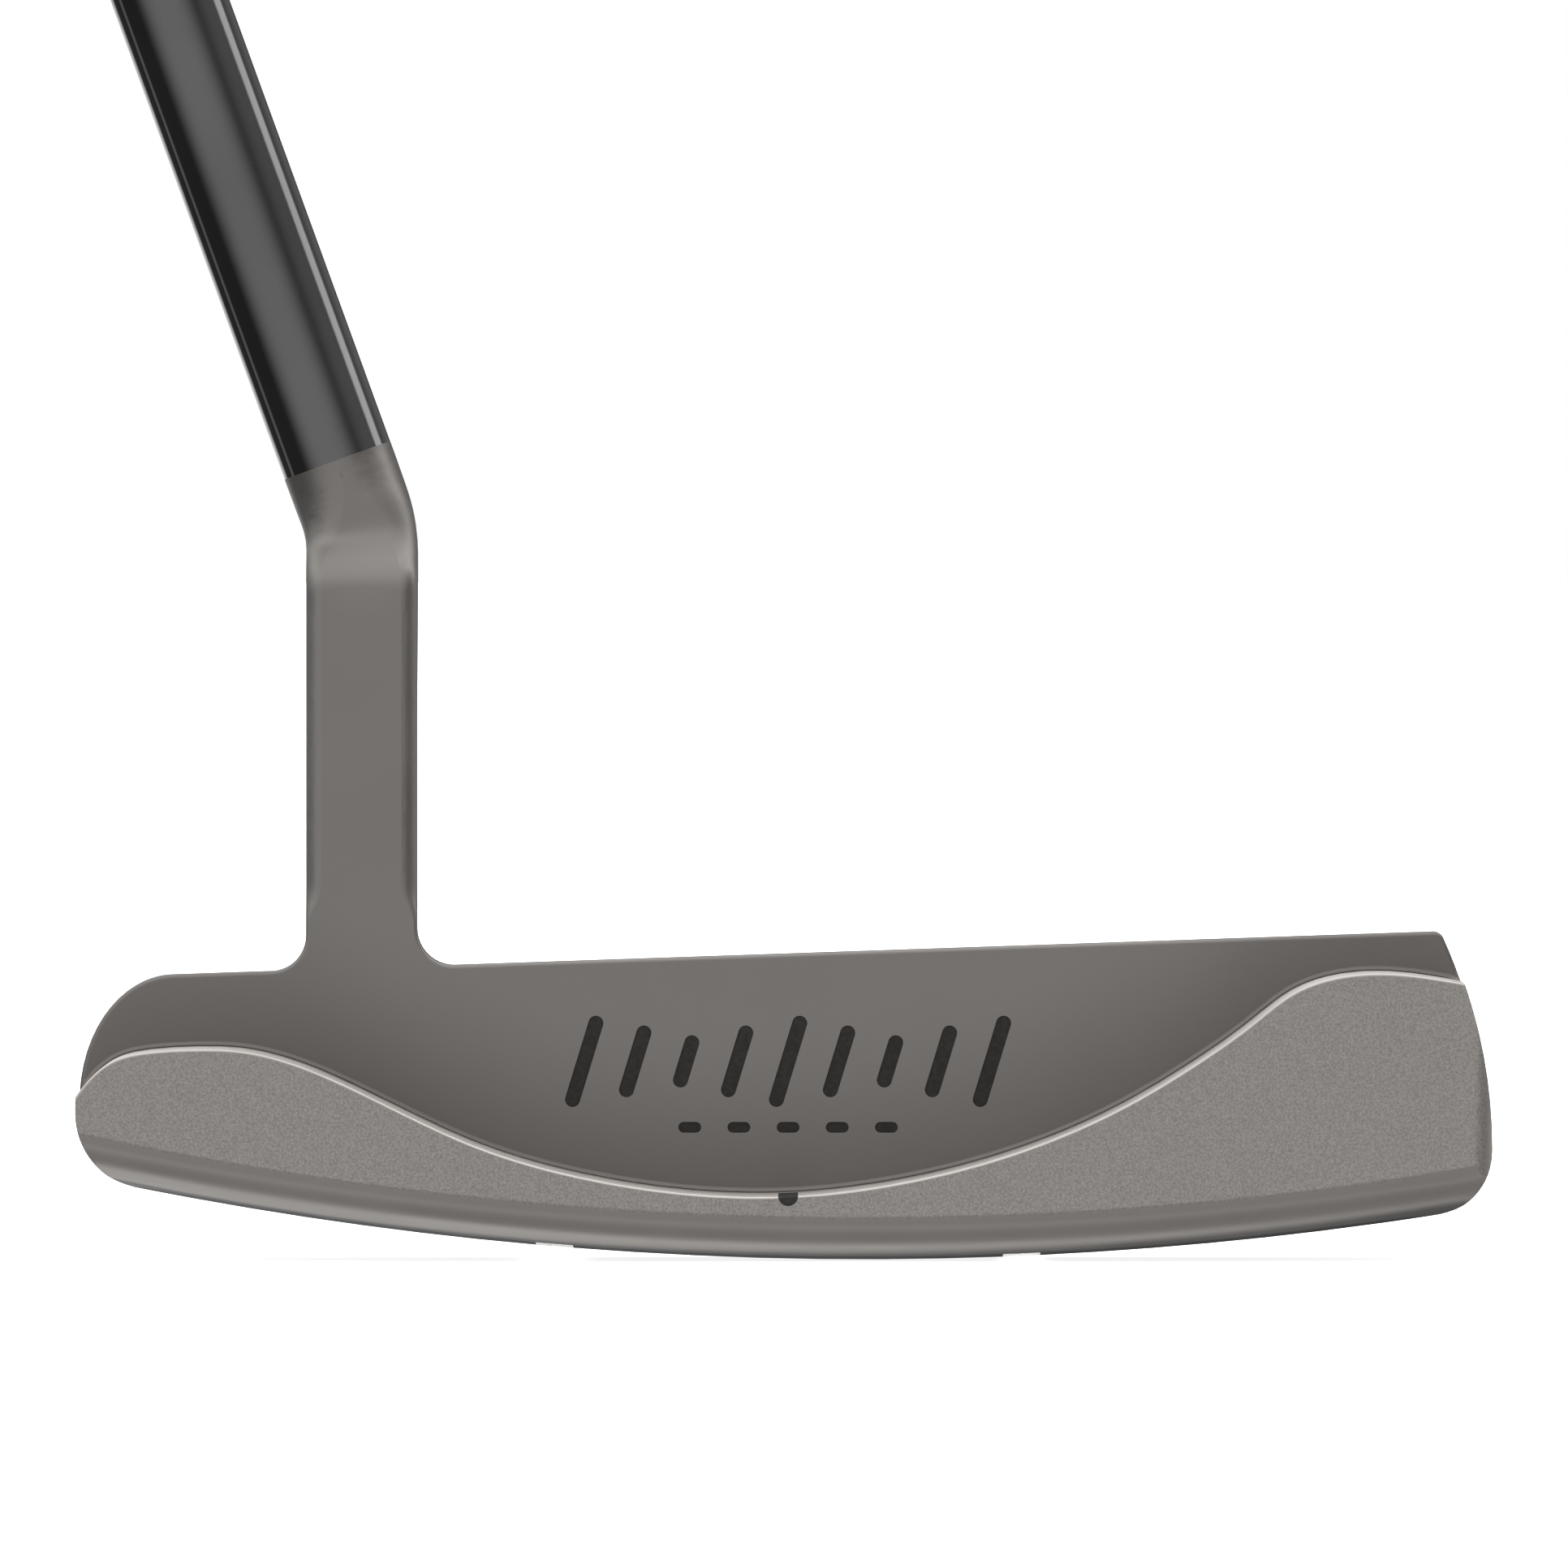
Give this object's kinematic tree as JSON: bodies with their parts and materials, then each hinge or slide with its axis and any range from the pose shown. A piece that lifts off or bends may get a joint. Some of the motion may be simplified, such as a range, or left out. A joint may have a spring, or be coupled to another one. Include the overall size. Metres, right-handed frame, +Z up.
{
  "type": "blade putter",
  "caption": "Right-handed blade putter: steel blade head with wavy cavity back, bent offset neck, black stepped shaft and flat-fronted grip.",
  "frame": {"origin": "on the ground under the sight line, below the lowest line of the sole", "axes": "+X towards the toe, +Y the way the ball leaves, +Z up; the shaft leans 20 degrees towards -X"},
  "size_m": [0.3939, 0.0395, 0.8386],
  "materials": {
    "satin_steel": "bead blasted, grey-brown satin",
    "black_plate": "black anodised",
    "white_paint": "white enamel",
    "dark_paint": "dark enamel",
    "adhesive": "cured epoxy",
    "tape": "paper tape",
    "black_shaft": "gloss black",
    "silver_band": "printed film",
    "grip_foam": "foamed rubber",
    "grip_black": "soft matt",
    "cap_black": "moulded"
  },
  "bodies": {
    "root": {"head": "satin_steel", "sole_plate": "black_plate", "sole_plate_adhesive": "adhesive", "sole_bars": "white_paint", "sight_line_fill": "dark_paint", "emblem_fill": "dark_paint", "shaft": "black_shaft", "hosel_epoxy": "adhesive", "shaft_band": "silver_band", "grip_tape": "tape", "grip_core": "grip_foam", "grip_skin": "grip_black", "grip_mouth_ring": "cap_black", "grip_cap": "cap_black"}
  },
  "joints": []
}
